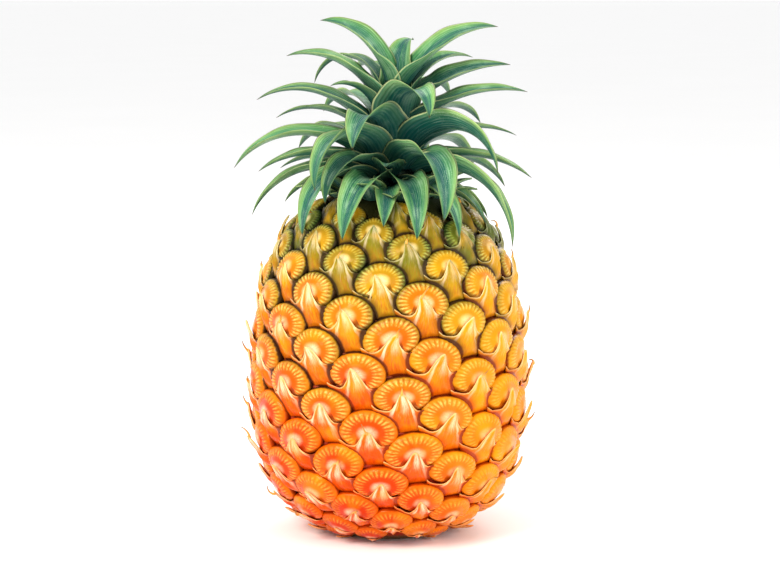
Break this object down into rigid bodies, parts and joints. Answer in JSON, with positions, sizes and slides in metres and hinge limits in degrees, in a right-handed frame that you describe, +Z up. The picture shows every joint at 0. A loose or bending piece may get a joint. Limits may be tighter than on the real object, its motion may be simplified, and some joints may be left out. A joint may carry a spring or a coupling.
{
  "type": "pineapple",
  "caption": "Whole ripe pineapple standing on its base, with a golden orange skin of fused eyes in spirals and a full green leaf crown.",
  "frame": {"origin": "centre of the flat cut base that the fruit stands on", "axes": "+Z up through the fruit to the crown, -Y the front, +X to the right seen from the front"},
  "size_m": [0.13, 0.1234, 0.2261],
  "materials": {
    "fruit_skin": "satin",
    "stem_skin": "matte",
    "heart_leaf": "satin",
    "inner_leaf": "satin",
    "outer_leaf": "satin",
    "collar_leaf": "satin"
  },
  "bodies": {
    "root": {"fruit": "fruit_skin", "crown_stem": "stem_skin", "heart_leaf_01": "heart_leaf", "heart_leaf_02": "heart_leaf", "heart_leaf_03": "heart_leaf", "heart_leaf_04": "heart_leaf", "heart_leaf_05": "heart_leaf", "heart_leaf_06": "heart_leaf", "heart_leaf_07": "heart_leaf", "heart_leaf_08": "heart_leaf", "heart_leaf_09": "heart_leaf", "inner_leaf_01": "inner_leaf", "inner_leaf_02": "inner_leaf", "inner_leaf_03": "inner_leaf", "inner_leaf_04": "inner_leaf", "inner_leaf_05": "inner_leaf", "inner_leaf_06": "inner_leaf", "inner_leaf_07": "inner_leaf", "inner_leaf_08": "inner_leaf", "inner_leaf_09": "inner_leaf", "inner_leaf_10": "inner_leaf", "inner_leaf_11": "inner_leaf", "inner_leaf_12": "inner_leaf", "outer_leaf_01": "outer_leaf", "outer_leaf_02": "outer_leaf", "outer_leaf_03": "outer_leaf", "outer_leaf_04": "outer_leaf", "outer_leaf_05": "outer_leaf", "outer_leaf_06": "outer_leaf", "outer_leaf_07": "outer_leaf", "outer_leaf_08": "outer_leaf", "outer_leaf_09": "outer_leaf", "outer_leaf_10": "outer_leaf", "outer_leaf_11": "outer_leaf", "outer_leaf_12": "outer_leaf", "outer_leaf_13": "outer_leaf", "outer_leaf_14": "outer_leaf", "collar_leaf_01": "collar_leaf", "collar_leaf_02": "collar_leaf", "collar_leaf_03": "collar_leaf", "collar_leaf_04": "collar_leaf", "collar_leaf_05": "collar_leaf", "collar_leaf_06": "collar_leaf", "collar_leaf_07": "collar_leaf", "collar_leaf_08": "collar_leaf", "collar_leaf_09": "collar_leaf", "collar_leaf_10": "collar_leaf", "collar_leaf_11": "collar_leaf", "collar_leaf_12": "collar_leaf", "collar_leaf_13": "collar_leaf", "collar_leaf_14": "collar_leaf", "collar_leaf_15": "collar_leaf", "collar_leaf_16": "collar_leaf", "collar_leaf_17": "collar_leaf"}
  },
  "joints": []
}
